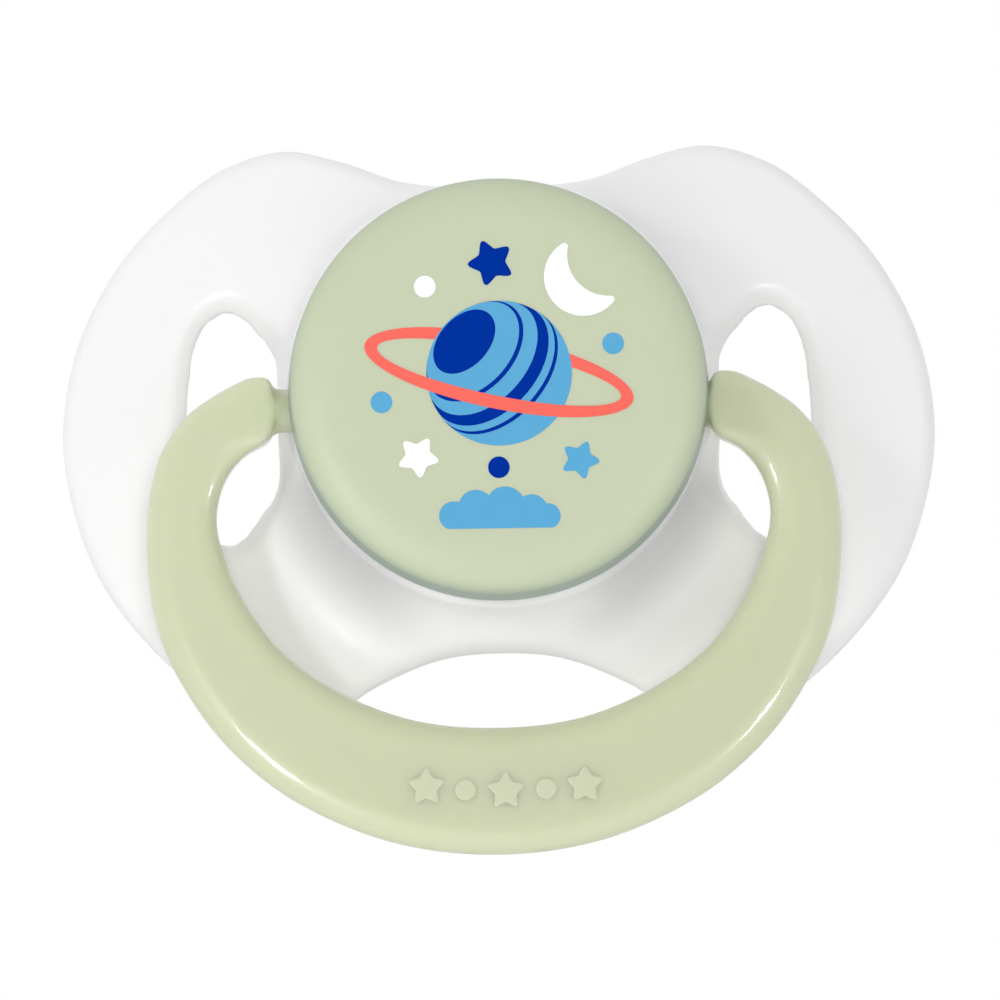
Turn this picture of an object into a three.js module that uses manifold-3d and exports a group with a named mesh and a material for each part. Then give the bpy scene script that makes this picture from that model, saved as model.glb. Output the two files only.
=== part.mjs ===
// A baby's pacifier: butterfly shield, silicone teat, teat core, button and swinging ring handle.
//
// Frame, in millimetres: +X to the right seen from the button's side, +Z up, -Y out of the button's face, and
// +Y into the mouth. The origin lies on the teat's axis, where the teat leaves the shield's mouth side.
// Everything on the teat's axis is a lathe about Y, which is also LatheGeometry's own axis.

import * as THREE from "three";
import { mergeVertices } from "three/addons/utils/BufferGeometryUtils.js";
import Module from "manifold-3d";

const wasm = await Module();
wasm.setup();

// ---------------------------------------------------------------- driving dimensions

const GAP = 0.35; // clearance kept between neighbouring pieces
const ROUND = 56; // facets round a full turn of the large lathes

const SHIELD_THICKNESS = 2.6;
const SHIELD_BEND_X = 62; // radius of the backward curve from wing tip to wing tip
const SHIELD_BEND_Z = 140; // radius of the gentler curve from top to bottom

const HUB_RADIUS = 14.3; // collar on the shield's front that the ring's pivots sit in
const HUB_BORE = 12.2;
const HUB_FRONT = -6.3;
const HUB_RELIEF = 3.2; // hollow about the hinge axis, beside the collar, that lets each shoulder swing free
const FLARE_RADIUS = 3; // the collar flares out to the shield over this radius

const TEAT_HOLE = 6.6; // hole in the shield that the teat passes through
const FLANGE_RADIUS = 8.6; // the teat's flange, trapped between the shield and the core
const FLANGE_THICKNESS = 1.4;
const TEAT_LENGTH = 28.5;

const PIVOT_Y = -4.9; // the ring's hinge axis, parallel to X
const PIVOT_Z = -1;
const NECK_RADIUS = 1.45;
const HEAD_RADIUS = 1.95;
const RING_THICKNESS = 3.6;
const RING_BEND = 110; // the ring bows backwards at its sides, like the shield
const RING_INSIDE = 15; // half the distance between the ring's two shoulders
const RING_SHIFT = -0.45; // the ring rests against one end of its side play

const BUTTON_RADIUS = 14.1; // at the button's back edge
const BUTTON_DRAFT = 0.3; // how much narrower the wall is where it meets the rounded shoulder
const BUTTON_SHOULDER = 1.8; // radius of the rounding from the wall to the flat, printed face
const BUTTON_FRONT = -13;
const BUTTON_WALL = 1.8;

// Right half of the shield's outline as [x, z], from the nose notch at the top down to the chin arch.
const SHIELD_OUTLINE = [
  [0, 14.0], [6.1, 14.7], [10.3, 16.3], [14.4, 17.25], [18.6, 16.2], [22.05, 13.85], [26.0, 9.8], [28.9, 4.4],
  [30.0, -1.5], [29.4, -6.6], [27.25, -12.2], [22.8, -17.7], [19.0, -20.6], [15.0, -21.8], [11.6, -21.3],
  [8.6, -19.5], [4.2, -17.75], [0, -17.35],
];

// The right air vent, clockwise from its top.
const VENT_OUTLINE = [
  [18.45, 6.2], [19.2, 5.95], [20.1, 5.2], [20.7, 3.8], [21.05, 1.7], [21.25, -0.8], [21.2, -3.9], [20.6, -7.1],
  [19.9, -8.7], [18.95, -9.5], [18.1, -9.5], [17.15, -8.75], [16.3, -7.6], [15.4, -6.4], [15.1, -5.4], [15.1, -2.5],
  [15.1, 1.0], [15.2, 2.7], [15.6, 3.65], [16.5, 4.8], [17.4, 5.75],
];

// Right half of the ring, about its hinge axis: the outer edge from the bottom up to the shoulder...
const RING_OUTER = [
  [0, -30.1], [5, -29.65], [9.5, -28.35], [14.4, -25.8], [18.1, -22.6], [20.7, -19.1], [22.65, -15.0],
  [23.45, -9.6], [23.2, -5.5], [22.4, -2.7], [20.8, -0.4], [19.05, 0.9], [17.4, 1.75], [16.2, 2.2],
];
// ...the shoulder, which stands beside the hub, and the inner edge back down to the middle.
const RING_SHOULDER = [[15.3, 2.05], [RING_INSIDE, 1.2], [RING_INSIDE, -1.2], [15.5, -2.1]];
const RING_INNER = [
  [16.7, -3.0], [18.0, -4.6], [18.65, -7.0], [18.3, -9.4], [16.9, -12.8], [14.3, -16.3], [10.6, -19.0],
  [5.6, -21.0], [0, -21.6],
];

// ---------------------------------------------------------------- helpers

// A closed three.js geometry as a manifold-3d solid.
function solid(geometry) {
  const bare = geometry.index ? geometry.toNonIndexed() : geometry.clone();
  bare.deleteAttribute("normal");
  bare.deleteAttribute("uv");
  const merged = mergeVertices(bare, 1e-4);
  return new wasm.Manifold(
    new wasm.Mesh({
      numProp: 3,
      vertProperties: merged.attributes.position.array,
      triVerts: new Uint32Array(merged.index.array),
    }),
  );
}

// A manifold-3d solid back as a three.js geometry.
function geometryOf(manifold) {
  const mesh = manifold.getMesh();
  const geometry = new THREE.BufferGeometry();
  geometry.setAttribute("position", new THREE.BufferAttribute(mesh.vertProperties, mesh.numProp));
  geometry.setIndex(new THREE.BufferAttribute(mesh.triVerts, 1));
  geometry.computeVertexNormals();
  return geometry;
}

function joined(...geometries) {
  return geometries.map(solid).reduce((all, next) => all.add(next));
}

// Moves every vertex of a geometry: place takes and changes a Vector3.
function reshaped(geometry, place) {
  const position = geometry.attributes.position;
  const point = new THREE.Vector3();
  for (let i = 0; i < position.count; i++) {
    place(point.fromBufferAttribute(position, i));
    position.setXYZ(i, point.x, point.y, point.z);
  }
  return geometry;
}

// A smooth closed curve through [x, z] points, sampled at even distances.
function closedCurve(points, samples) {
  const through = points.map(([x, z]) => new THREE.Vector3(x, z, 0));
  const curve = new THREE.CatmullRomCurve3(through, true, "centripetal");
  return curve.getSpacedPoints(samples).slice(0, -1).map((p) => new THREE.Vector2(p.x, p.y));
}

// Both halves of an outline whose right half runs from one point of the middle line to another.
function mirrored(half) {
  const left = half.slice(1, -1).reverse().map(([x, z]) => [-x, z]);
  return [...half, ...left];
}

// An outline in the XZ plane, extruded along Y from front to back.
function prism(outline, front, back, options = {}) {
  const settings = { depth: back - front, bevelEnabled: false, ...options };
  const geometry = new THREE.ExtrudeGeometry(new THREE.Shape(outline), settings);
  return geometry.rotateX(Math.PI / 2).translate(0, back, 0);
}

// A solid of revolution about the teat's axis. Its [radius, y] profile starts at the front and runs outwards.
function turned(profile, segments = ROUND) {
  return new THREE.LatheGeometry(profile.map(([r, y]) => new THREE.Vector2(r, y)), segments);
}

// A round bar along X, between two places on the hinge axis.
function hingeBar(radius, from, to, segments = 24) {
  const bar = new THREE.CylinderGeometry(radius, radius, to - from, segments);
  return bar.rotateZ(Math.PI / 2).translate((from + to) / 2, 0, 0);
}

// Points on an arc of an ellipse in the [radius, y] plane, between two angles in degrees.
function arc(centre, radii, from, to, steps) {
  return Array.from({ length: steps + 1 }, (_, i) => {
    const angle = THREE.MathUtils.degToRad(from + ((to - from) * i) / steps);
    return [centre[0] + radii[0] * Math.cos(angle), centre[1] + radii[1] * Math.sin(angle)];
  });
}

function piece(name, geometry, material) {
  const mesh = new THREE.Mesh(geometry, material);
  mesh.name = name;
  return mesh;
}

// ---------------------------------------------------------------- materials

const whitePlastic = new THREE.MeshStandardMaterial({ color: 0xf4f4f3, roughness: 0.22, metalness: 0 });
const greenPlastic = new THREE.MeshStandardMaterial({ color: 0xcdd4b8, roughness: 0.3, metalness: 0 });
const greenRingPlastic = new THREE.MeshStandardMaterial({ color: 0xcfd5b6, roughness: 0.25, metalness: 0 });
const silicone = new THREE.MeshStandardMaterial({
  color: 0xf2efe6, roughness: 0.3, metalness: 0, transparent: true, opacity: 0.6,
});

// ---------------------------------------------------------------- shield

// How far back the shield's mouth side lies behind the origin's plane.
function sag(x, z) {
  return (x * x) / (2 * SHIELD_BEND_X) + (z * z) / (2 * SHIELD_BEND_Z);
}

function shield() {
  const slab = new THREE.BoxGeometry(64, SHIELD_THICKNESS, 46, 26, 1, 16);
  reshaped(slab, (p) => p.setY(p.y - SHIELD_THICKNESS / 2 + sag(p.x, p.z)));
  const outline = prism(closedCurve(mirrored(SHIELD_OUTLINE), 108), -10, 20);

  // The collar with a flat floor inside it for the teat's flange, and the flare round its foot. Both stop at
  // the shield's edge, which passes just behind the button at the nose notch.
  const root = -0.25;
  const collar = turned([
    [0, -SHIELD_THICKNESS], [HUB_BORE, -SHIELD_THICKNESS], [HUB_BORE, HUB_FRONT],
    [HUB_RADIUS - 0.3, HUB_FRONT], [HUB_RADIUS, HUB_FRONT + 0.3], [HUB_RADIUS, root], [0, root],
  ]);
  const flare = HUB_RADIUS + FLARE_RADIUS;
  const foot = -SHIELD_THICKNESS - FLARE_RADIUS;
  const fillet = turned([
    [HUB_RADIUS - 1, foot], ...arc([flare, foot], [FLARE_RADIUS, FLARE_RADIUS], 180, 90, 8),
    [flare, -2], [HUB_RADIUS - 1, -2], [HUB_RADIUS - 1, foot],
  ]);
  reshaped(fillet, (p) => p.setY(p.y + sag(p.x, p.z)));
  let body = solid(slab).add(solid(collar)).add(solid(fillet)).intersect(solid(outline));

  // Air vents, and at each of the ring's pivots a relief for its shoulder and a slot for its neck.
  const slotRadius = NECK_RADIUS + GAP;
  for (const side of [-1, 1]) {
    const vent = VENT_OUTLINE.map(([x, z]) => [side * x, z]);
    const relief = hingeBar(HUB_RELIEF, -2, 2, 40).translate(side * (HUB_RADIUS + 1.9), 0, 0);
    const mouth = new THREE.BoxGeometry(8, 4, 2 * slotRadius).translate(side * HUB_RADIUS, -2, 0);
    const seat = hingeBar(slotRadius, -4, 4).translate(side * HUB_RADIUS, 0, 0);
    const pivotCut = joined(relief, mouth, seat).translate([0, PIVOT_Y, PIVOT_Z]);
    body = body.subtract(solid(prism(closedCurve(vent, 56), -10, 20))).subtract(pivotCut);
  }
  const hole = new THREE.CylinderGeometry(TEAT_HOLE, TEAT_HOLE, 12, ROUND);
  return geometryOf(body.subtract(solid(hole)));
}

// ---------------------------------------------------------------- teat

// The orthodontic shape: wider than it is high, with the bulb lifted towards the palate.
function flattened(p) {
  const t = THREE.MathUtils.smoothstep(p.y, 2, 18);
  p.x *= 1 + 0.16 * t;
  p.z = p.z * (1 - 0.26 * t) + 2.2 * THREE.MathUtils.smoothstep(p.y, 6, 24);
}

function teat() {
  const back = -SHIELD_THICKNESS - GAP;
  const front = back - FLANGE_THICKNESS;
  const neck = TEAT_HOLE - 0.3;
  const tip = TEAT_LENGTH;
  const wall = 1.5;
  const outside = [
    [neck, 0.6], [5.7, 1.9], [5.15, 4], [4.9, 7], [5.2, 10], [6.3, 13.2], [7.5, 16.4], [7.95, 19.4],
    [7.6, 22.6], [6.4, 25.4], [4.4, 27.4], [2.1, tip - 0.25],
  ];
  const inside = outside.slice(1, -1).map(([r, y]) => [r - wall, Math.min(y, 24.9) - 0.15]);
  const profile = [
    [4.8, front], [FLANGE_RADIUS, front], [FLANGE_RADIUS, back], [neck, back], ...outside, [0, tip],
    [0, tip - wall], [2.2, tip - wall - 0.5], ...inside.reverse().slice(1), [4.8, 0.9], [4.8, front],
  ];
  return reshaped(turned(profile, 36), flattened);
}

// ---------------------------------------------------------------- core

// Plug that fills the teat's neck and clamps its flange; its barbed post holds the button.
function core() {
  const back = -SHIELD_THICKNESS - 2 * GAP - FLANGE_THICKNESS;
  const front = back - 1.4;
  return turned([
    [0, -9.6], [2.3, -9.6], [3.3, -8.5], [3.3, -7.9], [2.6, -7.7], [2.6, front], [FLANGE_RADIUS, front],
    [FLANGE_RADIUS, back], [4.45, back], [4.45, 0.3], [3.6, 1.2], [0, 1.2],
  ], 40);
}

// ---------------------------------------------------------------- button

// A cap whose hollow boss snaps over the core's post; its back edge keeps the ring's necks in their slots.
function button() {
  const edge = HUB_FRONT - GAP;
  const inner = BUTTON_RADIUS - BUTTON_WALL;
  const roof = BUTTON_FRONT + 2;
  const face = BUTTON_RADIUS - BUTTON_DRAFT - BUTTON_SHOULDER;
  return turned([
    [0, BUTTON_FRONT],
    ...arc([face, BUTTON_FRONT + BUTTON_SHOULDER], [BUTTON_SHOULDER, BUTTON_SHOULDER], -90, 0, 7),
    [BUTTON_RADIUS, edge], [inner, edge], [inner, roof + 1.2], [inner - 1.2, roof],
    [5, roof], [5, -6.55], [2.95, -6.55], [2.95, -7.3], [3.65, -7.5], [3.65, roof], [0, roof],
  ]);
}

// ---------------------------------------------------------------- ring

function ring() {
  const half = [...RING_OUTER, ...RING_SHOULDER, ...RING_INNER];
  const edge = 0.7; // the band's edges are rounded over by this much
  const back = RING_THICKNESS / 2 - edge;
  const band = prism(closedCurve(mirrored(half), 190), -back, back, {
    bevelEnabled: true, bevelThickness: edge, bevelSize: edge, bevelOffset: -edge, bevelSegments: 2,
  });
  reshaped(band, (p) => p.setY(p.y + (p.x * p.x - RING_INSIDE * RING_INSIDE) / (2 * RING_BEND)));
  const pivots = [-1, 1].flatMap((side) => {
    const neck = hingeBar(NECK_RADIUS, 10.5, 16.6);
    const head = hingeBar(HEAD_RADIUS, 9.45, 10.9);
    return [neck, head].map((bar) => (side < 0 ? bar.rotateZ(Math.PI) : bar));
  });
  return geometryOf(joined(band, ...pivots));
}

// ---------------------------------------------------------------- assembly

const pacifier = new THREE.Group();
pacifier.add(piece("shield", shield(), whitePlastic));
pacifier.add(piece("teat", teat(), silicone));
pacifier.add(piece("teat_core", core(), whitePlastic));
pacifier.add(piece("button", button(), greenPlastic));

const handle = piece("ring_handle", ring(), greenRingPlastic);
handle.position.set(RING_SHIFT, PIVOT_Y, PIVOT_Z);
pacifier.add(handle);

export default pacifier;
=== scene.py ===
"""A baby's pacifier seen from its button's side: white butterfly shield, pale green button and ring handle.

Lengths are written in millimetres and turned into metres as each mesh is made. Only the floor and the lamps
are written in metres. The frame is the CAD model's: +X to the right, +Z up, -Y out of the button's face, +Y
into the mouth, origin on the teat's axis.
"""

import math

import bpy
import numpy as np
from mathutils import Matrix, Vector


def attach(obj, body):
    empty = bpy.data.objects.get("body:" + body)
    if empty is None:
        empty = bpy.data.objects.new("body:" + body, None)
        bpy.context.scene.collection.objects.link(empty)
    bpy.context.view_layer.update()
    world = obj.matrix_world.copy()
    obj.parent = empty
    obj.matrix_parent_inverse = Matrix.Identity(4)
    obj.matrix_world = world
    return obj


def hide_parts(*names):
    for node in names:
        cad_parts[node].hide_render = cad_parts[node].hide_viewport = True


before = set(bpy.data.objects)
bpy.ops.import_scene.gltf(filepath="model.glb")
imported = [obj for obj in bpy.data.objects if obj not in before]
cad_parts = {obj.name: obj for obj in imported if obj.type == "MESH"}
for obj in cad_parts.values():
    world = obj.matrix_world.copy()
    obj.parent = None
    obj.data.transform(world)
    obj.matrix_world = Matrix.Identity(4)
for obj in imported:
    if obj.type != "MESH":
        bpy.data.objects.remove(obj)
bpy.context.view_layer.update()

MM = 0.001

# ---------------------------------------------------------------- main dimensions
#
# They are the CAD model's, but for the ring's two shoulders, which come 0.3 mm nearer the button here.

THICKNESS = 2.6  # the shield's plate
BEND_X, BEND_Z = 62, 140  # radii of the plate's curves across and up
HUB_RADIUS, HUB_BORE, HUB_FRONT = 14.3, 12.2, -6.3  # the shield's collar, round the button's back
HUB_RELIEF = 3.2  # radius of the hollow round each pivot
TEAT_HOLE = 6.6
PIVOT_Y, PIVOT_Z = -4.9, -1
NECK_RADIUS, HEAD_RADIUS = 1.45, 1.95  # the ring's pivots, and the heads on their ends
RING_THICKNESS = 3.6
RING_BEND, RING_INSIDE = 110, 15  # radius of the band's bow, and how far out it crosses the pivots' plane
RING_SHIFT = -0.45  # how far the ring rests to one side in its play
FACE = -13  # the button's flat, printed face

SHIELD_OUTLINE = [
    (0, 14.0), (6.1, 14.7), (10.3, 16.3), (14.4, 17.25), (18.6, 16.2), (22.05, 13.85), (26.0, 9.8),
    (28.9, 4.4), (30.0, -1.5), (29.4, -6.6), (27.25, -12.2), (22.8, -17.7), (19.0, -20.6), (15.0, -21.8),
    (11.6, -21.3), (8.6, -19.5), (4.2, -17.75), (0, -17.35),
]
VENT_OUTLINE = [
    (18.45, 6.2), (19.2, 5.95), (20.1, 5.2), (20.7, 3.8), (21.05, 1.7), (21.25, -0.8), (21.2, -3.9),
    (20.6, -7.1), (19.9, -8.7), (18.95, -9.5), (18.1, -9.5), (17.15, -8.75), (16.3, -7.6), (15.4, -6.4),
    (15.1, -5.4), (15.1, -2.5), (15.1, 1.0), (15.2, 2.7), (15.6, 3.65), (16.5, 4.8), (17.4, 5.75),
]
RING_OUTLINE = [
    (0, -30.1), (5, -29.65), (9.5, -28.35), (14.4, -25.8), (18.1, -22.6), (20.7, -19.1), (22.65, -15.0),
    (23.45, -9.6), (23.2, -5.5), (22.4, -2.7), (20.8, -0.4), (19.05, 0.9), (17.4, 1.75), (16.2, 2.2),
    (15.0, 2.05), (14.7, 1.2), (14.7, -1.2), (15.2, -2.1),
    (16.7, -3.0), (18.0, -4.6), (18.65, -7.0), (18.3, -9.4), (16.9, -12.8), (14.3, -16.3), (10.6, -19.0),
    (5.6, -21.0), (0, -21.6),
]

# ---------------------------------------------------------------- outlines


def mirrored(half):
    """Both halves of an outline whose right half runs from one point of the middle line to another."""
    return list(half) + [(-x, z) for x, z in reversed(half[1:-1])]


SPAN_STEPS = 40  # points drawn between two points of a closed curve, before they are spaced evenly


def closed_curve(points, count):
    """A centripetal Catmull-Rom curve through a closed list of points, as count evenly spaced points."""
    p = np.array(points, float)
    n = len(p)
    dense = []
    for i in range(n):
        p0, p1, p2, p3 = (p[(i + k) % n] for k in (-1, 0, 1, 2))
        t1 = math.dist(p0, p1) ** 0.5
        t2 = t1 + math.dist(p1, p2) ** 0.5
        t3 = t2 + math.dist(p2, p3) ** 0.5
        t = np.linspace(t1, t2, SPAN_STEPS, endpoint=False)[:, None]
        a1 = (t1 - t) / t1 * p0 + t / t1 * p1
        a2 = (t2 - t) / (t2 - t1) * p1 + (t - t1) / (t2 - t1) * p2
        a3 = (t3 - t) / (t3 - t2) * p2 + (t - t2) / (t3 - t2) * p3
        b1 = (t2 - t) / t2 * a1 + t / t2 * a2
        b2 = (t3 - t) / (t3 - t1) * a2 + (t - t1) / (t3 - t1) * a3
        dense.append((t2 - t) / (t2 - t1) * b1 + (t - t1) / (t2 - t1) * b2)
    dense = np.concatenate(dense)
    step = np.linalg.norm(np.roll(dense, -1, 0) - dense, axis=1)
    along = np.concatenate([[0], np.cumsum(step)])
    ring = np.vstack([dense, dense[:1]])
    at = np.linspace(0, along[-1], count, endpoint=False)
    return np.stack([np.interp(at, along, ring[:, k]) for k in (0, 1)], 1)


class Outline:
    """Signed distance to a closed outline in the XZ plane, negative inside, read from a fine grid."""

    STEP = 0.1  # the grid's cell, in millimetres

    def __init__(self, curve, margin=4.0):
        self.low = curve.min(0) - margin
        size = ((curve.max(0) + margin - self.low) / self.STEP).astype(int) + 2
        x = self.low[0] + self.STEP * np.arange(size[0])
        z = self.low[1] + self.STEP * np.arange(size[1])
        a, b = curve, np.roll(curve, -1, 0)
        ab = b - a
        length2 = (ab**2).sum(1)
        self.grid = np.empty(size)
        for i, xi in enumerate(x):
            ap_x, ap_z = xi - a[:, 0], z[:, None] - a[:, 1]
            t = np.clip((ap_x * ab[:, 0] + ap_z * ab[:, 1]) / length2, 0, 1)
            gap = np.hypot(ap_x - t * ab[:, 0], ap_z - t * ab[:, 1]).min(1)
            spans = (a[:, 0] > xi) != (b[:, 0] > xi)
            crossing = a[spans, 1] + (xi - a[spans, 0]) / ab[spans, 0] * ab[spans, 1]
            inside = (crossing > z[:, None]).sum(1) % 2 == 1
            self.grid[i] = np.where(inside, -gap, gap)

    def __call__(self, x, z):
        last_cell = np.array(self.grid.shape) - 1.001
        u = np.clip((x - self.low[0]) / self.STEP, 0, last_cell[0])
        v = np.clip((z - self.low[1]) / self.STEP, 0, last_cell[1])
        i, j = u.astype(int), v.astype(int)
        u, v = u - i, v - j
        g = self.grid
        near = g[i, j] * (1 - v) + g[i, j + 1] * v
        far = g[i + 1, j] * (1 - v) + g[i + 1, j + 1] * v
        return near * (1 - u) + far * u


def ease(t, low, high):
    """From 0 at low to 1 at high, flat at both ends."""
    t = np.clip((t - low) / (high - low), 0, 1)
    return t * t * (3 - 2 * t)


# ---------------------------------------------------------------- smooth solids from distance fields


def joined(a, b, fillet):
    """Union of two fields, with a fillet of about that radius where they meet."""
    h = np.clip(0.5 + 0.5 * (b - a) / fillet, 0, 1)
    return b * (1 - h) + a * h - fillet * h * (1 - h)


def cut(a, b, edge):
    """Field a without field b, with the new edges rounded over."""
    return -joined(-a, b, edge)


def trimmed(a, b, edge):
    """Intersection of two fields, with the edge between them rounded over."""
    return -joined(-a, -b, edge)


def rounded(u, v, radius):
    """Where two fields overlap, as the cross-section of a plate with rounded edges."""
    u, v = u + radius, v + radius
    return np.minimum(np.maximum(u, v), 0) + np.hypot(np.maximum(u, 0), np.maximum(v, 0)) - radius


def box_field(x, y, z, half, radius=0.15):
    """A box about the origin with its half sizes."""
    q = [np.abs(c) - h + radius for c, h in zip((x, y, z), half)]
    outside = np.sqrt(sum(np.maximum(c, 0) ** 2 for c in q))
    return outside + np.minimum(np.maximum(np.maximum(q[0], q[1]), q[2]), 0) - radius


PULLS = 4  # times each vertex is pulled towards the surface
NUDGE = 0.02  # how far the slope of a field is measured, either way
LEAST_SLOPE = 0.2  # the squared slope is taken as at least this, where a field is nearly flat
LONGEST_PULL = 0.4  # as a share of the grid's step


def surface_net(field, low, high, step):
    """Vertices and quads of the surface where field is 0. The vertices are then pulled onto it."""
    axes = [np.arange(lo, hi + step, step) for lo, hi in zip(low, high)]
    f = field(*np.meshgrid(*axes, indexing="ij"))
    inside = f < 0
    corners = [(i, j, k) for i in (0, 1) for j in (0, 1) for k in (0, 1)]
    n = [s - 1 for s in f.shape]
    total = sum(inside[i : n[0] + i, j : n[1] + j, k : n[2] + k].astype(int) for i, j, k in corners)
    active = (total > 0) & (total < 8)
    cells = np.argwhere(active)
    index = np.full(active.shape, -1)
    index[active] = np.arange(len(cells))
    place, count = np.zeros((len(cells), 3)), np.zeros(len(cells))
    for a in corners:
        for axis in range(3):
            if a[axis]:
                continue
            b = tuple(1 if k == axis else a[k] for k in range(3))
            fa, fb = f[tuple((cells + a).T)], f[tuple((cells + b).T)]
            hit = (fa < 0) != (fb < 0)
            t = fa[hit] / (fa[hit] - fb[hit])
            place[hit] += np.array(a) + t[:, None] * (np.array(b) - np.array(a))
            count[hit] += 1
    verts = np.array([a[0] for a in axes]) + step * (cells + place / count[:, None])
    quads = []
    for axis in range(3):
        others = [k for k in range(3) if k != axis]
        lower = [slice(1, -1)] * 3
        lower[axis] = slice(0, -1)
        upper = list(lower)
        upper[axis] = slice(1, None)
        s0, s1 = inside[tuple(lower)], inside[tuple(upper)]
        at = np.argwhere(s0 != s1)
        leaving = s0[tuple(at.T)]
        for k in others:
            at[:, k] += 1
        loop = []
        for du, dv in ((0, 0), (-1, 0), (-1, -1), (0, -1)):
            cell = at.copy()
            cell[:, others[0]] += du
            cell[:, others[1]] += dv
            loop.append(index[tuple(cell.T)])
        loop = np.stack(loop, 1)
        keep = leaving if axis != 1 else ~leaving
        loop[~keep] = loop[~keep][:, ::-1]
        quads.append(loop)
    for _ in range(PULLS):
        value = field(*verts.T)
        rises = [field(*(verts + d).T) - field(*(verts - d).T) for d in np.eye(3) * NUDGE]
        slope = np.stack(rises, 1) / (2 * NUDGE)
        shift = -value[:, None] * slope / np.maximum((slope**2).sum(1), LEAST_SLOPE)[:, None]
        verts += np.clip(shift, -LONGEST_PULL * step, LONGEST_PULL * step)
    return verts, np.concatenate(quads)


# ---------------------------------------------------------------- meshes


def piece(name, verts, faces, material, body, nodes=(), smooth=True):
    """A mesh in millimetres as a named piece that rides on a body and stands for CAD nodes."""
    mesh = bpy.data.meshes.new(name)
    places = (np.asarray(verts, float) * MM).tolist()
    mesh.from_pydata(places, [], np.asarray(faces, dtype=object).tolist())
    mesh.polygons.foreach_set("use_smooth", [smooth] * len(mesh.polygons))
    mesh.materials.append(material)
    mesh.update()
    obj = bpy.data.objects.new(name, mesh)
    bpy.context.scene.collection.objects.link(obj)
    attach(obj, body)
    if nodes:
        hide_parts(*nodes)


def arc(centre, radius, start, end, steps):
    """Points on an arc in the [radius, y] plane, between two angles in degrees."""
    turn = np.radians(np.linspace(start, end, steps + 1))
    return [(centre[0] + radius * math.cos(a), centre[1] + radius * math.sin(a)) for a in turn]


def turned(profile, segments=160):
    """A solid of revolution about the Y axis from (radius, y) points that begin and end on the axis."""
    inner = profile[1:-1]
    angle = np.linspace(0, 2 * math.pi, segments, endpoint=False)
    verts = [(0, profile[0][1], 0), (0, profile[-1][1], 0)]
    for r, y in inner:
        verts += [(r * math.cos(a), y, r * math.sin(a)) for a in angle]
    faces = []
    last = 2 + (len(inner) - 1) * segments
    for k in range(segments):
        m = (k + 1) % segments
        faces.append((0, 2 + k, 2 + m))
        for ring in range(len(inner) - 1):
            a = 2 + ring * segments
            faces.append((a + k, a + segments + k, a + segments + m, a + m))
        faces.append((1, last + m, last + k))
    return np.array(verts), faces


# ---------------------------------------------------------------- materials

SILICONE_IOR, PLASTIC_IOR = 1.41, 1.49
BUMP = 0.03
RIPPLE_DEPTH = 0.2  # in millimetres, before the bump's strength
RIPPLE_FINENESS = 2.5  # how much finer the ripple is than the mottling
COAT_ROUGHNESS = 0.05


def material(
    name, tint, other, rough, scale=180.0, coat=0.0, scatter=0.0, radius=(1, 1, 1), ior=PLASTIC_IOR, shine=0.5
):
    """Moulded plastic or ink: two close tints mottled by noise, with uneven gloss and a faint ripple."""
    mat = bpy.data.materials.new(name)
    mat.use_nodes = True
    nodes, links = mat.node_tree.nodes, mat.node_tree.links
    shader = nodes["Principled BSDF"]
    shader.inputs["IOR"].default_value = ior
    shader.inputs["Specular IOR Level"].default_value = shine
    shader.inputs["Coat Weight"].default_value = coat
    shader.inputs["Coat Roughness"].default_value = COAT_ROUGHNESS
    shader.inputs["Subsurface Weight"].default_value = scatter
    shader.inputs["Subsurface Radius"].default_value = radius
    shader.inputs["Subsurface Scale"].default_value = MM
    where = nodes.new("ShaderNodeTexCoord")
    noise = nodes.new("ShaderNodeTexNoise")
    noise.inputs["Scale"].default_value = scale
    noise.inputs["Detail"].default_value = 4
    links.new(where.outputs["Object"], noise.inputs["Vector"])
    colour = nodes.new("ShaderNodeMix")
    colour.data_type = "RGBA"
    colour.name = "colour"
    colour.inputs["A"].default_value = (*tint, 1)
    colour.inputs["B"].default_value = (*other, 1)
    links.new(noise.outputs["Fac"], colour.inputs["Factor"])
    links.new(colour.outputs["Result"], shader.inputs["Base Color"])
    gloss = nodes.new("ShaderNodeMapRange")
    gloss.inputs["To Min"].default_value = rough[0]
    gloss.inputs["To Max"].default_value = rough[1]
    links.new(noise.outputs["Fac"], gloss.inputs["Value"])
    links.new(gloss.outputs["Result"], shader.inputs["Roughness"])
    fine = nodes.new("ShaderNodeTexNoise")
    fine.inputs["Scale"].default_value = scale * RIPPLE_FINENESS
    fine.inputs["Detail"].default_value = 2
    links.new(where.outputs["Object"], fine.inputs["Vector"])
    ripple = nodes.new("ShaderNodeBump")
    ripple.inputs["Strength"].default_value = BUMP
    ripple.inputs["Distance"].default_value = RIPPLE_DEPTH * MM
    links.new(fine.outputs["Fac"], ripple.inputs["Height"])
    links.new(ripple.outputs["Normal"], shader.inputs["Normal"])
    return mat


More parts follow.
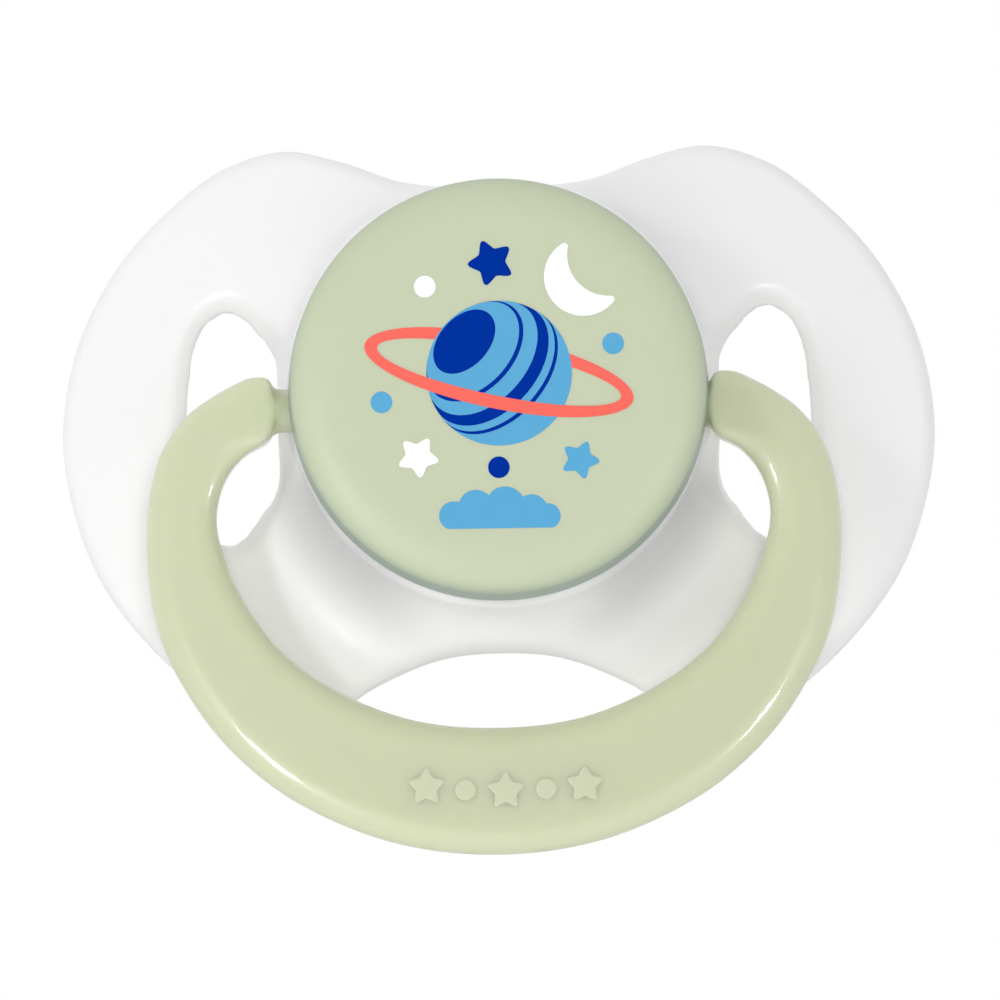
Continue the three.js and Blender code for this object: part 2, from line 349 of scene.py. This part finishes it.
def blend(mat, tint, *ranges):
    """Mixes a tint into a material's colour by how far each range has run, multiplied together.

    A range says what is measured in the object's own space, and where it starts and ends in millimetres.
    """
    nodes, links = mat.node_tree.nodes, mat.node_tree.links
    where = nodes.new("ShaderNodeTexCoord")
    axes = nodes.new("ShaderNodeSeparateXYZ")
    links.new(where.outputs["Object"], axes.inputs[0])
    flat = nodes.new("ShaderNodeVectorMath")
    flat.operation = "MULTIPLY"
    flat.inputs[1].default_value = (1, 0, 1)
    links.new(where.outputs["Object"], flat.inputs[0])
    out = nodes.new("ShaderNodeVectorMath")
    out.operation = "LENGTH"
    links.new(flat.outputs["Vector"], out.inputs[0])
    aside = nodes.new("ShaderNodeMath")
    aside.operation = "ABSOLUTE"
    links.new(axes.outputs["X"], aside.inputs[0])
    measures = {
        "depth": axes.outputs["Y"],
        "height": axes.outputs["Z"],
        "radius": out.outputs["Value"],
        "aside": aside.outputs[0],
    }
    total = None
    for measure, start, end in ranges:
        amount = nodes.new("ShaderNodeMapRange")
        amount.inputs["From Min"].default_value = start * MM
        amount.inputs["From Max"].default_value = end * MM
        amount.interpolation_type = "SMOOTHSTEP"
        links.new(measures[measure], amount.inputs["Value"])
        if total is None:
            total = amount.outputs["Result"]
            continue
        both = nodes.new("ShaderNodeMath")
        both.operation = "MULTIPLY"
        links.new(total, both.inputs[0])
        links.new(amount.outputs["Result"], both.inputs[1])
        total = both.outputs[0]
    mix = nodes.new("ShaderNodeMix")
    mix.data_type = "RGBA"
    mix.inputs["B"].default_value = (*tint, 1)
    links.new(total, mix.inputs["Factor"])
    links.new(nodes["colour"].outputs["Result"], mix.inputs["A"])
    links.new(mix.outputs["Result"], nodes["Principled BSDF"].inputs["Base Color"])


white_plastic = material(
    "white_plastic", (0.872, 0.868, 0.873), (0.85, 0.846, 0.852), (0.26, 0.34),
    scatter=0.12, radius=(1.2, 1.2, 1.2),
)
# Shade in the two lower pockets beside the collar, which the lamps alone don't make dark enough.
blend(
    white_plastic, (0.64, 0.64, 0.65),
    ("radius", 18.8, 15.4), ("height", -1.5, -7), ("aside", 3.5, 9.5), ("depth", 0.5, -0.5),
)
green_plastic = material(
    "green_button_plastic", (0.55, 0.60, 0.43), (0.535, 0.585, 0.415), (0.4, 0.48),
    scatter=0.2, radius=(1.2, 1.5, 1.0), shine=0.35,
)
# Painted shade: the button's side wall is tinted darker than its face, as it lies in shade.
blend(green_plastic, (0.315, 0.40, 0.325), ("depth", FACE + 0.3, FACE + 3.0))
ring_plastic = material(
    "green_ring_plastic", (0.60, 0.635, 0.445), (0.585, 0.62, 0.43), (0.3, 0.4),
    coat=0.6, scatter=0.7, radius=(3.0, 3.1, 2.2),
)
mark_plastic = material(
    "green_mark_plastic", (0.575, 0.615, 0.43), (0.56, 0.60, 0.42), (0.35, 0.45), shine=0.3
)
core_plastic = material("core_plastic", (0.86, 0.86, 0.85), (0.82, 0.82, 0.81), (0.3, 0.4))
silicone = material(
    "silicone", (0.86, 0.80, 0.67), (0.84, 0.775, 0.64), (0.2, 0.28),
    scatter=0.8, radius=(3.0, 2.6, 2.0), ior=SILICONE_IOR,
)

INK = dict(rough=(0.4, 0.5), scale=600)
dark_ink = material("dark_blue_ink", (0.0005, 0.028, 0.30), (0.001, 0.03, 0.31), shine=0.0, **INK)
light_ink = material("light_blue_ink", (0.10, 0.37, 0.62), (0.11, 0.38, 0.63), shine=0.0, **INK)
coral_ink = material("coral_ink", (0.88, 0.145, 0.11), (0.87, 0.15, 0.12), shine=0.0, **INK)
white_ink = material("white_ink", (0.95, 0.95, 0.95), (0.93, 0.93, 0.93), shine=0.1, **INK)

# ---------------------------------------------------------------- shield

GRID = 0.3  # the surface nets' cell
PLATE_EDGE, COLLAR_EDGE, TEAT_HOLE_EDGE = 1.0, 0.35, 0.4
COLLAR_BACK = 0.4  # the collar runs back to here
BACK_FILLET = 0.3
FOOT_FILLET, LOBE_FILLET = 3.4, 3.2  # round the collar's foot, and what is added to it towards the lobes
LOBE_START, LOBE_END = 4, 10  # the heights between which it is added
VENT_WALL_EDGE = 0.1
VENT_BEVEL, VENT_EDGE = 1.1, 0.4  # how deep the vents' bevels are, and how rounded
HOLLOW_MIDDLE, HOLLOW_HALF, HOLLOW_EDGE = 1.8, 2.15, 0.5  # round each pivot, from the collar's wall
SLOT = (4, 2, 1.8)  # half sizes of the slot that a neck goes in by
SLOT_EDGE = 0.2

shield_edge = Outline(closed_curve(mirrored(SHIELD_OUTLINE), 900))
vent_edge = Outline(closed_curve(VENT_OUTLINE, 400))


def shield_field(x, y, z):
    """The bowed plate with its collar, less the vents, the pivots' hollows and slots, and the teat's hole."""
    r, ax = np.hypot(x, z), np.abs(x)
    sag = x * x / (2 * BEND_X) + z * z / (2 * BEND_Z)
    steep = np.sqrt(1 + (x / BEND_X) ** 2 + (z / BEND_Z) ** 2)
    through = (np.abs(y - sag + THICKNESS / 2) - THICKNESS / 2) / steep
    wall = (HUB_RADIUS - HUB_BORE) / 2
    rise = (HUB_FRONT + COLLAR_BACK) / 2
    collar_depth = np.abs(y - rise) + rise - COLLAR_BACK
    collar = rounded(np.abs(r - HUB_BORE - wall) - wall, collar_depth, COLLAR_EDGE)
    outer_front = (r > HUB_BORE + wall) & (y < sag - THICKNESS / 2)
    foot = FOOT_FILLET + LOBE_FILLET * ease(np.abs(z), LOBE_START, LOBE_END)
    flare = np.where(outer_front, foot, BACK_FILLET)
    body = rounded(shield_edge(x, z), joined(through, collar, flare), PLATE_EDGE)
    hole = -vent_edge(ax, z)
    bevel = (hole + body + VENT_BEVEL) * 0.7071  # a plane at 45 degrees, its distance scaled to match
    body = trimmed(trimmed(hole, body, VENT_WALL_EDGE), bevel, VENT_EDGE)
    up, back = z - PIVOT_Z, y - PIVOT_Y
    from_axis, from_wall = np.hypot(back, up), ax - HUB_RADIUS
    hollow = np.maximum(from_axis - HUB_RELIEF, np.abs(from_wall - HOLLOW_MIDDLE) - HOLLOW_HALF)
    slot = box_field(from_wall, back + SLOT[1], up, SLOT)
    seat = np.maximum(from_axis - SLOT[2], np.abs(from_wall) - SLOT[0])
    body = cut(body, hollow, HOLLOW_EDGE)
    body = cut(body, np.minimum(slot, seat), SLOT_EDGE)
    return cut(body, r - TEAT_HOLE, TEAT_HOLE_EDGE)


verts, quads = surface_net(shield_field, (-31, -7, -23), (31, 9, 18.5), GRID)
piece("shield_plate", verts, quads, white_plastic, "soother", ["shield"])

# ---------------------------------------------------------------- ring handle

ROLL_LEAST, ROLL_GROWTH = 0.35, 1.0  # radius of the band's rounded edges: at its ends, and what is added
ROLL_START, ROLL_END = 1.6, 5.0  # how far from an end it is added
BAND_END = 14.8  # how far from the middle the band ends, between its shoulders
SLOPE_SCALE = 0.75  # widens the rounding of the band in its own plane
NECK_MIDDLE, NECK_HALF, NECK_EDGE = 13.2, 3.2, 0.2
HEAD_MIDDLE, HEAD_HALF, HEAD_EDGE = 10.18, 0.72, 0.3
NECK_FILLET = 0.5

ring_edge = Outline(closed_curve(mirrored(RING_OUTLINE), 1200))


def ring_field(x, y, z):
    """The bowed band with a headed neck at either end."""
    x, y, z = x - RING_SHIFT, y - PIVOT_Y, z - PIVOT_Z
    ax = np.abs(x)
    bowed = y - (x * x - RING_INSIDE**2) / (2 * RING_BEND)
    roll = ROLL_LEAST + ROLL_GROWTH * ease(np.hypot(ax - BAND_END, 1.1 * z), ROLL_START, ROLL_END)
    band = rounded(SLOPE_SCALE * ring_edge(x, z), np.abs(bowed) - RING_THICKNESS / 2, roll)
    spoke = np.hypot(y, z)
    neck = rounded(spoke - NECK_RADIUS, np.abs(ax - NECK_MIDDLE) - NECK_HALF, NECK_EDGE)
    head = rounded(spoke - HEAD_RADIUS, np.abs(ax - HEAD_MIDDLE) - HEAD_HALF, HEAD_EDGE)
    return joined(band, np.minimum(neck, head), NECK_FILLET)


verts, quads = surface_net(ring_field, (-25, -9, -32.5), (24.5, -0.5, 2.5), GRID)
piece("ring_band", verts, quads, ring_plastic, "ring", ["ring_handle"])

# ---------------------------------------------------------------- button

RIM_START, RIM_WIDTH, RIM_DEPTH = 10.9, 2.95, 1.8  # the quarter ellipse between the face and the wall
brim = [
    (RIM_START + RIM_WIDTH * math.sin(t), FACE + RIM_DEPTH - RIM_DEPTH * math.cos(t))
    for t in np.linspace(0, math.pi / 2, 18)
]
button_profile = [
    (0, FACE), (4, FACE), (8, FACE), *brim,
    (13.85, -10.4), (14.0, -8.2), *arc((13.85, -6.9), 0.25, 0, 90, 3),
    (12.4, -6.65), (12.3, -6.8), (12.3, -9.8), (11.1, -11), (5, -11), (5, -6.55), (2.95, -6.55), (2.95, -7.3),
    (3.65, -7.5), (3.65, -11), (0, -11),
]
verts, faces = turned(button_profile)
piece("button_cap", verts, faces, green_plastic, "soother", ["button"])

# ---------------------------------------------------------------- teat and its core


def spline(points, count):
    """A smooth open curve through (radius, y) points."""
    p = [2 * np.array(points[0]) - np.array(points[1]), *map(np.array, points)]
    p.append(2 * p[-1] - p[-2])
    out = []
    for a, b, c, d in zip(p, p[1:], p[2:], p[3:]):
        for t in np.linspace(0, 1, count, endpoint=False):
            square = (2 * a - 5 * b + 4 * c - d) * t**2
            cube = (3 * b - a - 3 * c + d) * t**3
            out.append(0.5 * (2 * b + (c - a) * t + square + cube))
    return [tuple(v) for v in out] + [tuple(points[-1])]


TEAT_SEGMENTS = 96
WIDENING, FLATTENING, LIFT = 0.16, 0.26, 2.2  # what makes the round bulb wide, flat and turned up

outside = [
    (6.3, 0.6), (5.7, 1.9), (5.15, 4), (4.9, 7), (5.2, 10), (6.3, 13.2), (7.5, 16.4), (7.95, 19.4),
    (7.6, 22.6), (6.4, 25.4), (4.4, 27.4), (2.1, 28.25), (0, 28.5),
]
inside = [
    (0, 27), (1.8, 26.75), (3.65, 26.1), (5.3, 24.4), (6.15, 22.2), (6.45, 19.3), (6.0, 16.4), (4.8, 13.2),
    (3.7, 10), (3.4, 7), (3.65, 4), (4.2, 2.1), (4.8, 0.9),
]
flange = [
    (4.8, -4.15), *arc((5.0, -4.15), 0.2, 180, 270, 3), *arc((8.4, -4.15), 0.2, -90, 0, 3),
    *arc((8.4, -3.15), 0.2, 0, 90, 3), (6.5, -2.95), (6.3, -2.75), (6.3, -1),
]
verts, faces = turned(spline(inside, 6) + flange + spline(outside, 6), TEAT_SEGMENTS)
flat = ease(verts[:, 1], 2, 18)
verts[:, 0] *= 1 + WIDENING * flat
verts[:, 2] = verts[:, 2] * (1 - FLATTENING * flat) + LIFT * ease(verts[:, 1], 6, 24)
piece("teat_silicone", verts, faces, silicone, "soother", ["teat"])

core_profile = [
    (0, -9.6), (2.1, -9.6), (2.4, -9.45), (3.3, -8.5), (3.35, -8.2), (3.3, -7.9), (2.6, -7.7), (2.6, -6.25),
    *arc((2.75, -6.25), 0.15, 180, 90, 2), *arc((8.4, -5.9), 0.2, -90, 0, 3),
    *arc((8.4, -4.9), 0.2, 0, 90, 3),
    (4.5, -4.7), (4.45, -4.65), (4.45, 0.2), (4.3, 0.55), (3.6, 1.2), (3.4, 1.2), (0, 1.2),
]
verts, faces = turned(core_profile, TEAT_SEGMENTS)
piece("teat_core_plug", verts, faces, core_plastic, "soother", ["teat_core"])

# ---------------------------------------------------------------- print on the button


def ellipse(x, z, a, b, tilt=0.0, start=0, end=360, count=96):
    """Points round an ellipse, its long axis tilted from +X, between two of its own angles."""
    t = np.radians(np.linspace(start, end, count, endpoint=end - start < 360))
    w = math.radians(tilt)
    u, v = a * np.cos(t), b * np.sin(t)
    return np.stack([x + u * math.cos(w) - v * math.sin(w), z + u * math.sin(w) + v * math.cos(w)], 1)


STAR_WAIST, STAR_SOFTNESS = 0.52, 0.16  # as shares of a star's radius


def star(x, z, radius, tip):
    """A five-pointed star with rounded tips, one of them at that angle in degrees."""
    turn = np.radians(tip + 36 * np.arange(10))
    size = np.where(np.arange(10) % 2 == 0, radius, radius * STAR_WAIST)
    corner = np.stack([x + size * np.cos(turn), z + size * np.sin(turn)], 1)
    out = []
    for k in range(10):
        a, b, c = corner[k - 1], corner[k], corner[(k + 1) % 10]
        r = (STAR_SOFTNESS if k % 2 == 0 else 0.25 * STAR_SOFTNESS) * radius
        a, c = b + (a - b) * r * 2 / math.dist(a, b), b + (c - b) * r * 2 / math.dist(c, b)
        out += [(1 - t) ** 2 * a + 2 * t * (1 - t) * b + t * t * c for t in np.linspace(0, 1, 7)]
    return np.array(out)


LAYER = 0.01  # thickness of one layer of ink


def film(name, outline, ink, layer, front_faces=None):
    """A printed shape: a film of ink whose front stands that many layers off the button."""
    outline = np.asarray(outline)
    n = len(outline)
    ahead = np.roll(outline, -1, 0)
    faces = front_faces or [tuple(range(n))]
    walls = [(k, k + n, (k + 1) % n + n, (k + 1) % n) for k in range(n)]
    if (outline[:, 0] * ahead[:, 1] - outline[:, 1] * ahead[:, 0]).sum() < 0:
        faces, walls = [f[::-1] for f in faces], [f[::-1] for f in walls]
    front = [(x, FACE - LAYER * layer, z) for x, z in outline]
    back = [(x, FACE, z) for x, z in outline]
    piece(name, front + back, faces + walls, ink, "soother", smooth=False)


def strip(name, first, second, ink, layer):
    """A printed band between two lines that have the same number of points."""
    n = len(first)
    quads = [(k, k + 1, 2 * n - 2 - k, 2 * n - 1 - k) for k in range(n - 1)]
    film(name, np.concatenate([first, second[::-1]]), ink, layer, quads)


PLANET, GLOBE = (0.07, 0.69), 4.82
HOOP = dict(x=0.06, z=0.75, tilt=-12.4)


def hoop(name, start, layer):
    """Half of the planet's hoop, from that angle on."""
    outer = ellipse(a=9.1, b=2.43, start=start, end=start + 180, **HOOP)
    inner = ellipse(a=8.25, b=1.56, start=start, end=start + 180, **HOOP)
    strip(name, outer, inner, coral_ink, layer)


hoop("print_hoop_back", 0, 2)
film("print_planet", ellipse(*PLANET, GLOBE, GLOBE), light_ink, 3)

lean, way = math.radians(49), math.radians(137)  # of the planet's pole: from the viewer, and round from +X
pole = np.array([math.sin(lean) * math.cos(way), math.sin(lean) * math.sin(way), math.cos(lean)])
side = np.array([-math.sin(way), math.cos(way), 0])
other_side = np.cross(pole, side)


def latitude(angle, low=-180, high=180):
    """The visible part of a circle that far from the planet's pole, as seen from in front."""
    t = np.radians(np.linspace(low, high, 121))[:, None]
    a = math.radians(angle)
    p = GLOBE * (math.cos(a) * pole + math.sin(a) * (np.cos(t) * side + np.sin(t) * other_side))
    flat_length = np.maximum(np.hypot(p[:, 0], p[:, 1]), 1e-9)
    pull = np.where(p[:, 2] < 0, GLOBE / flat_length, 1)[:, None]
    return np.array(PLANET) + p[:, :2] * pull


def seen(angle):
    """How far round a circle of latitude stays in sight, either side of its nearest point."""
    return math.degrees(math.acos(max(-1, -1 / (math.tan(math.radians(angle)) * math.tan(lean)))))


film("print_polar_cap", latitude(31)[:-1], dark_ink, 4)
OVERRUN = 6  # degrees that a band's ends run past the planet's edge
for name, low, high in (("thin", 50, 53.5), ("thick", 66, 77), ("edge", 84, 88)):
    reach = seen(0.5 * (low + high)) + OVERRUN
    ends = 90 - reach, 90 + reach
    strip(f"print_{name}_band", latitude(high, *ends), latitude(low, *ends), dark_ink, 4)

hoop("print_hoop_front", 180, 5)

film("print_star_top", star(-0.36, 8.06, 1.80, 40), dark_ink, 2)
film("print_star_left", star(-5.38, -4.80, 1.60, 60), white_ink, 2)
film("print_star_right", star(5.35, -5.15, 1.50, 67), light_ink, 2)
for name, x, z, ink in (
    ("upper_left", -4.78, 6.52, white_ink), ("right", 7.66, 2.55, light_ink),
    ("left", -7.76, -1.14, light_ink), ("bottom", -0.04, -5.57, dark_ink),
):
    film(f"print_dot_{name}", ellipse(x, z, 0.72, 0.72, count=32), ink, 2)


def crescent(x, z, radius, cut_x, cut_z, cut_radius, tip=0.24):
    """A moon: one circle without another, its tips rounded to the radius tip."""
    gap, way = math.dist((x, z), (cut_x, cut_z)), math.atan2(cut_z - z, cut_x - x)
    near, far = radius - tip, cut_radius + tip
    along = (gap**2 + near**2 - far**2) / (2 * gap)
    aside = math.sqrt(near**2 - along**2)
    half, bite = math.atan2(aside, along), math.atan2(aside, along - gap)

    def bend(u, v, size, start, end):
        t = np.linspace(start, end, 40)
        return np.stack([u + size * np.cos(t), v + size * np.sin(t)], 1)

    around = np.concatenate([
        bend(0, 0, radius, half, 2 * math.pi - half),
        bend(along, -aside, tip, 2 * math.pi - half, 3 * math.pi - bite)[1:],
        bend(gap, 0, cut_radius, 2 * math.pi - bite, bite)[1:],
        bend(along, aside, tip, bite - math.pi, half)[1:-1],
    ])
    c, s = math.cos(way), math.sin(way)
    return np.array([x, z]) + around @ np.array([[c, s], [-s, c]])


film("print_moon", crescent(5.75, 7.03, 2.61, 7.43, 8.46, 2.73), white_ink, 2)

puffs = [(-3.1, -8.75, 0.95), (-1.6, -8.2, 1.15), (0.35, -8.15, 1.3), (2.1, -8.45, 1.05), (3.15, -8.85, 0.85)]
CLOUD_MIDDLE, CLOUD_BASE = -9.0, -9.62
cloud = []
for turn in np.radians(np.arange(-12, 193, 2)):
    far = 0
    for x, z, r in puffs:
        rise = z - CLOUD_MIDDLE
        along = x * math.cos(turn) + rise * math.sin(turn)
        inner = r * r - (x * x + rise * rise - along * along)
        if inner > 0:
            far = max(far, along + math.sqrt(inner))
    cloud.append((far * math.cos(turn), max(far * math.sin(turn) + CLOUD_MIDDLE, CLOUD_BASE)))
film("print_cloud", np.array(cloud), light_ink, 2)

# ---------------------------------------------------------------- small moulded marks

MARK_HEIGHT = 0.06
MARK_SECTION = [(1.06, -0.25), (1.0, 0.0), (0.94, 0.6), (0.87, 0.93), (0.8, 1.0)]  # shares of size, height


def loops(rows, around):
    """Quads between neighbouring rows of points, each row a closed loop."""
    starts = range(0, (rows - 1) * around, around)
    return [
        (r + k, r + (k + 1) % around, r + around + (k + 1) % around, r + around + k)
        for r in starts for k in range(around)
    ]


def raised(name, outline):
    """A low raised shape on the ring's bowed front."""
    n, mid = len(outline), outline.mean(0)
    verts = []
    for scale, lift in MARK_SECTION:
        p = mid + (outline - mid) * scale
        bow = ((p[:, 0] - RING_SHIFT) ** 2 - RING_INSIDE**2) / (2 * RING_BEND)
        front = PIVOT_Y + bow - RING_THICKNESS / 2 - lift * MARK_HEIGHT
        verts += [(x, y, z) for (x, z), y in zip(p, front)]
    faces = loops(len(MARK_SECTION), n)
    faces.append(tuple(range(4 * n, 5 * n)))
    piece(name, verts, faces, mark_plastic, "ring")


for k, x in enumerate((-5.2, -2.6, 0.1, 2.8, 5.4)):
    z = -26.85 + 0.012 * x * x
    shape = ellipse(x, z, 0.7, 0.7, count=40) if k % 2 else star(x, z, 1.45, 90)
    raised(f"ring_mark_{k + 1}", shape)

# The gate mark: a flat bead that lies across the bottom of the button's rounded rim.
NUB_X, NUB_Y, NUB_Z = 0.1, -11.55, -13.62
NUB_HALF_LENGTH, NUB_HALF_WIDTH, NUB_HALF_HEIGHT = 1.4, 0.38, 0.16
NUB_TILT = math.radians(40)
NUB_ROWS, NUB_AROUND = 13, 12
nub = []
for v in np.linspace(0, math.pi, NUB_ROWS):
    for u in np.linspace(0, 2 * math.pi, NUB_AROUND, endpoint=False):
        across = NUB_HALF_WIDTH * math.sin(v) * math.cos(u)
        out = NUB_HALF_HEIGHT * math.sin(v) * math.sin(u)
        nub.append((
            NUB_X + NUB_HALF_LENGTH * math.cos(v),
            NUB_Y - out * math.sin(NUB_TILT) + across * math.cos(NUB_TILT),
            NUB_Z - out * math.cos(NUB_TILT) - across * math.sin(NUB_TILT),
        ))
piece("button_gate_mark", nub, loops(NUB_ROWS, NUB_AROUND), green_plastic, "soother")

# ---------------------------------------------------------------- floor, light and camera

scene = bpy.context.scene
FLOOR_RADIUS, FLOOR_HEIGHT, FLOOR_POINTS = 2.1, -0.32, 96  # in metres: a disc wider than any view needs
floor_mesh = bpy.data.meshes.new("floor")
rim = [2 * math.pi * k / FLOOR_POINTS for k in range(FLOOR_POINTS)]
floor_verts = [(FLOOR_RADIUS * math.cos(a), FLOOR_RADIUS * math.sin(a), FLOOR_HEIGHT) for a in rim]
floor_mesh.from_pydata(floor_verts, [], [range(FLOOR_POINTS)])
floor = bpy.data.objects.new("floor", floor_mesh)
floor_paint = material("floor_paint", (0.90, 0.90, 0.90), (0.88, 0.88, 0.88), (0.6, 0.8), scale=8)
floor_mesh.materials.append(floor_paint)
scene.collection.objects.link(floor)

AIM = Vector((0, 0, -0.005))  # in metres, near the middle of the piece


def lamp(name, place, size, watts):
    """A square soft box that faces the pacifier, with its place and size in metres."""
    data = bpy.data.lights.new(name, "AREA")
    data.size = size
    data.energy = watts
    obj = bpy.data.objects.new(name, data)
    obj.location = place
    obj.rotation_euler = (AIM - Vector(place)).to_track_quat("-Z", "Y").to_euler()
    scene.collection.objects.link(obj)
    return obj


# The first two lamps light the piece without glints. The other two only make the glints on the ring's edges.
lamp("key", (0.02, -0.68, 0.02), 0.2, 1.86).visible_glossy = False
lamp("side", (-0.37, -0.49, 0.13), 0.11, 0.80).visible_glossy = False
lamp("glint_left", (-0.328, -0.485, -0.19), 0.1, 1.0).visible_diffuse = False
lamp("glint_right", (0.391, -0.452, -0.152), 0.07, 0.6).visible_diffuse = False

# The world is dimmer in front of the button and white where the camera sees it.
world = bpy.data.worlds.new("studio")
world.use_nodes = True
scene.world = world
tree = world.node_tree
ambient = tree.nodes["Background"]
ambient.inputs["Color"].default_value = (1, 1, 1, 1)
around = tree.nodes.new("ShaderNodeTexCoord")
axes = tree.nodes.new("ShaderNodeSeparateXYZ")
tree.links.new(around.outputs["Generated"], axes.inputs[0])
glow = tree.nodes.new("ShaderNodeMapRange")
glow.interpolation_type = "SMOOTHSTEP"
for socket, value in (("From Min", -0.75), ("From Max", 0.3), ("To Min", 0.31), ("To Max", 1.0)):
    glow.inputs[socket].default_value = value
tree.links.new(axes.outputs["Y"], glow.inputs["Value"])
tree.links.new(glow.outputs["Result"], ambient.inputs["Strength"])
plain = tree.nodes.new("ShaderNodeBackground")
plain.inputs["Color"].default_value = (1, 1, 1, 1)
plain.inputs["Strength"].default_value = 1.0
path = tree.nodes.new("ShaderNodeLightPath")
pick = tree.nodes.new("ShaderNodeMixShader")
tree.links.new(path.outputs["Is Camera Ray"], pick.inputs[0])
tree.links.new(ambient.outputs[0], pick.inputs[1])
tree.links.new(plain.outputs[0], pick.inputs[2])
tree.links.new(pick.outputs[0], tree.nodes["World Output"].inputs["Surface"])
scene.view_settings.view_transform = "Standard"

# The camera looks up a little at the button's face, from 0.5 m. It is aimed lower by AIM_DROP at
# AIM_DISTANCE, and rolled.
CAMERA_DISTANCE, CAMERA_DROP, CAMERA_ROLL = 500, math.radians(4.5), math.radians(0.87)
AIM_DISTANCE, AIM_DROP = 506, 6.97
rise, level = math.sin(CAMERA_DROP), math.cos(CAMERA_DROP)
eye = Vector((0, -CAMERA_DISTANCE * level, -CAMERA_DISTANCE * rise))
ahead = Vector((0, level, rise))
up = Vector((0, -rise, level))
ahead = (AIM_DISTANCE * ahead - AIM_DROP * up).normalized()
right = ahead.cross(up).normalized()
up = right.cross(ahead)
cos_roll, sin_roll = math.cos(CAMERA_ROLL), math.sin(CAMERA_ROLL)
right, up = right * cos_roll - up * sin_roll, up * cos_roll + right * sin_roll
camera = bpy.data.objects.new("camera", bpy.data.cameras.new("camera"))
camera.data.lens = 264.4
camera.data.sensor_width = 36
camera.data.clip_start = 0.01
camera.location = eye * MM
turn = np.stack([right, up, -ahead], 1).tolist()
camera.rotation_euler = Matrix(turn).to_euler()
scene.collection.objects.link(camera)
scene.camera = camera
